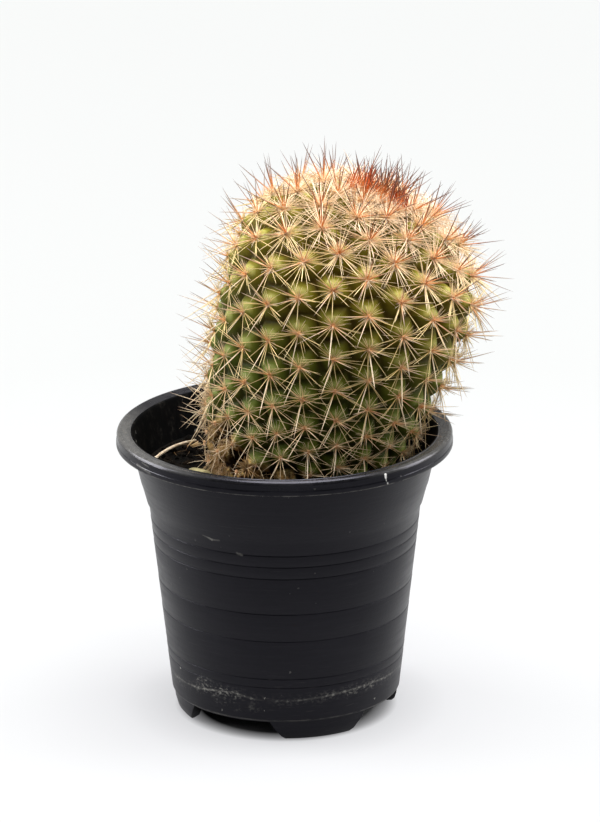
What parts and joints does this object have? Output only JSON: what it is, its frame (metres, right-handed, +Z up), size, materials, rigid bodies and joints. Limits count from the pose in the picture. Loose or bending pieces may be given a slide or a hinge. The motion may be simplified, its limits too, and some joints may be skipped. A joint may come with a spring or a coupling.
{
  "type": "potted round cactus",
  "caption": "Potted round cactus: a leaning, tubercled globe set with straw and rust coloured spines, growing from dark soil in a black plastic nursery pot with a rolled rim and feet.",
  "frame": {"origin": "on the ground, under the middle of the whole object's box; the pot's own middle is 9.4 mm towards -X, because the plant leans past the rim on the +X side", "axes": "+Z up from the ground the pot stands on, -Y towards the viewer of the picture, +X towards the side the plant leans to"},
  "size_m": [0.1238, 0.105, 0.1809],
  "materials": {
    "pot_plastic": "satin",
    "soil": "matte",
    "cactus_skin": "satin",
    "pale_spine": "satin",
    "rust_spine": "satin",
    "areole_wool": "matte",
    "pebble_stone": "matte",
    "dry_straw": "matte"
  },
  "bodies": {
    "root": {"pot": "pot_plastic", "soil": "soil", "cactus": "cactus_skin", "pebble": "pebble_stone", "strand": "dry_straw"}
  },
  "joints": []
}
